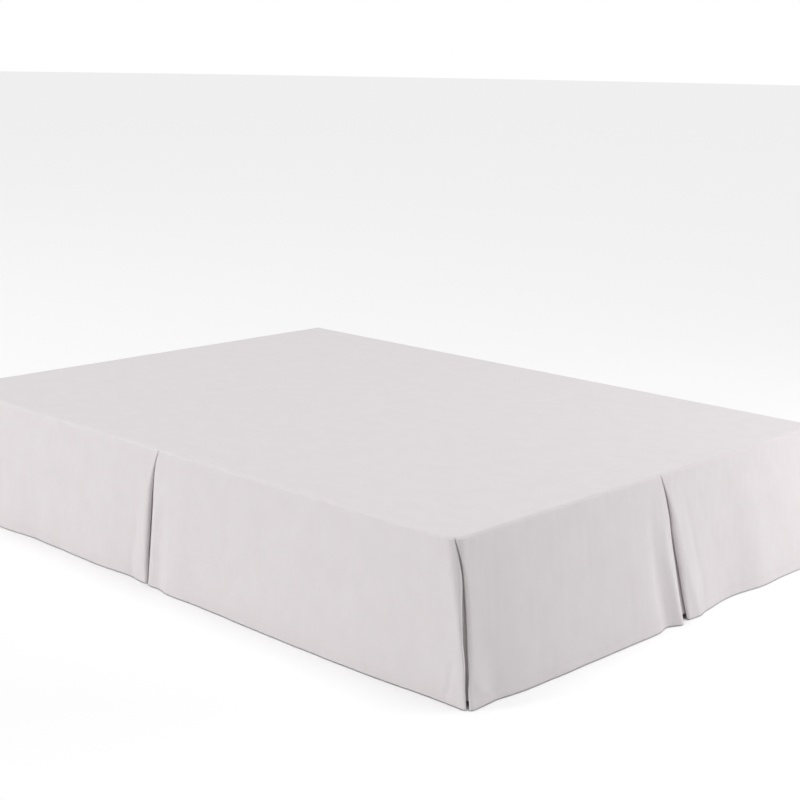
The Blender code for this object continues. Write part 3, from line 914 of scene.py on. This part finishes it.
def thread_material():
    """Spun sewing thread of the cloth's colour."""
    material, tree, shader = new_material("skirt_thread", 0.62, (0.74, 0.71, 0.72))
    shader.inputs["Sheen Weight"].default_value = 0.15
    place = add(tree, "ShaderNodeTexCoord").outputs["Object"]
    twist = noise(tree, place, (2600, 2600, 2600), 1.0)
    color = color_from(tree, twist, (0.64, 0.61, 0.62), (0.80, 0.77, 0.78))
    finish_material(tree, shader, color, weighted(tree, [(twist, 0.00005)]))
    return material


def cover_material():
    """The woven cover of the foundation."""
    material, tree, shader = new_material("foundation_cover_fine", 0.92, (0.62, 0.61, 0.60))
    shader.inputs["Sheen Weight"].default_value = 0.10
    place = add(tree, "ShaderNodeTexCoord").outputs["Object"]
    upright = noise(tree, place, (700, 700, 40), 2.0)
    level = noise(tree, place, (40, 40, 700), 2.0)
    cloud = noise(tree, place, (9, 9, 9), 3.0)
    tone = weighted(tree, [(upright, 0.35), (level, 0.35), (cloud, 0.30)])
    color = color_from(tree, tone, (0.50, 0.49, 0.48), (0.74, 0.73, 0.72))
    height = weighted(tree, [(upright, 0.00025), (level, 0.00025), (cloud, 0.0012)])
    finish_material(tree, shader, color, height)
    return material


def wood_material():
    """Dark stained wood with its grain along the leg."""
    material, tree, shader = new_material("leg_wood_fine", 0.42, (0.16, 0.10, 0.06))
    shader.inputs["Coat Weight"].default_value = 0.25
    shader.inputs["Coat Roughness"].default_value = 0.25
    place = add(tree, "ShaderNodeTexCoord").outputs["Object"]
    rings = noise(tree, place, (95, 95, 6), 3.0, 0.6)
    pores = noise(tree, place, (900, 900, 35), 2.0)
    tone = weighted(tree, [(rings, 0.75), (pores, 0.25)])
    color = color_from(tree, tone, (0.055, 0.030, 0.017), (0.27, 0.17, 0.10))
    finish_material(tree, shader, color, weighted(tree, [(pores, 0.00025), (rings, 0.0003)]))
    return material


def dress_base():
    """Better materials for the solids that stay."""
    cover = cover_material()
    wood = wood_material()
    for name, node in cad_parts.items():
        if name == "base_box":
            node.material_slots[0].material = cover
        elif name.startswith("leg_"):
            node.material_slots[0].material = wood


def make_floor():
    bpy.ops.mesh.primitive_circle_add(vertices=96, radius=FLOOR_RADIUS, fill_type="NGON")
    floor = bpy.context.object
    floor.name = "floor"
    material, _, shader = new_material("floor_pale", 0.9, (0.92, 0.92, 0.92))
    shader.inputs["Specular IOR Level"].default_value = 0.0
    floor.data.materials.append(material)


def add_light(data, place, faces):
    lamp = bpy.data.objects.new(data.name, data)
    lamp.location = place
    lamp.rotation_euler = (Vector(faces) - Vector(place)).to_track_quat("-Z", "Y").to_euler()
    lamp.visible_camera = False
    bpy.context.scene.collection.objects.link(lamp)


def make_lights():
    """Soft light from above, a window beyond the head's left corner and one off the foot's right."""
    sky = bpy.data.lights.new("sky_light", "SUN")
    sky.energy = SKY_LIGHT
    sky.angle = SKY_ANGLE
    add_light(sky, SKY_PLACE, (0.0, 0.0, 0.0))
    for name, values in WINDOWS.items():
        settings = dict(zip(WINDOW_COLUMNS, values))
        window = bpy.data.lights.new(name, "AREA")
        window.shape = "RECTANGLE"
        window.size, window.size_y = settings["size"]
        window.energy = settings["power"]
        add_light(window, settings["place"], settings["faces"])


def make_world():
    """White all round, softer as a light than it looks."""
    world = bpy.data.worlds.new("white_studio")
    world.use_nodes = True
    tree = world.node_tree
    tree.nodes.clear()
    seen = add(tree, "ShaderNodeBackground", {"Color": (1.0, 1.0, 1.0, 1.0), "Strength": 1.0})
    lighting = add(tree, "ShaderNodeBackground", {"Color": (1.0, 1.0, 1.0, 1.0), "Strength": AMBIENT})
    looked_at = add(tree, "ShaderNodeLightPath").outputs["Is Camera Ray"]
    mixed = add(tree, "ShaderNodeMixShader", {0: looked_at, 1: lighting.outputs[0], 2: seen.outputs[0]})
    add(tree, "ShaderNodeOutputWorld", {"Surface": mixed.outputs[0]})
    bpy.context.scene.world = world
    bpy.context.scene.view_settings.view_transform = "Standard"


def make_camera():
    """The photograph's viewpoint, off the near corner of the bed."""
    look = np.array([
        math.sin(CAMERA_YAW) * math.cos(CAMERA_PITCH),
        math.cos(CAMERA_YAW) * math.cos(CAMERA_PITCH),
        -math.sin(CAMERA_PITCH),
    ])
    level = np.array([math.cos(CAMERA_YAW), -math.sin(CAMERA_YAW), 0.0])
    upright = np.cross(level, look)
    right = math.cos(CAMERA_ROLL) * level + math.sin(CAMERA_ROLL) * upright
    up = -math.sin(CAMERA_ROLL) * level + math.cos(CAMERA_ROLL) * upright
    near_corner = Vector((-BED_WIDTH / 2, BED_MIDDLE_Y - BED_LENGTH / 2, 0.0))
    data = bpy.data.cameras.new("camera")
    data.sensor_width = CAMERA_SENSOR_MM
    data.lens = CAMERA_LENS_MM
    camera = bpy.data.objects.new("camera", data)
    turned = Matrix([right, up, -look]).transposed()
    camera.matrix_world = Matrix.Translation(near_corner + Vector(CAMERA_FROM_CORNER)) @ turned.to_4x4()
    bpy.context.scene.collection.objects.link(camera)
    bpy.context.scene.camera = camera


def build():
    materials = {"cloth": cloth_material(), "thread": thread_material()}
    make_camera()
    make_world()
    make_lights()
    make_floor()
    make_deck(materials)
    make_drops(materials)
    make_underlays(materials)
    dress_base()


build()
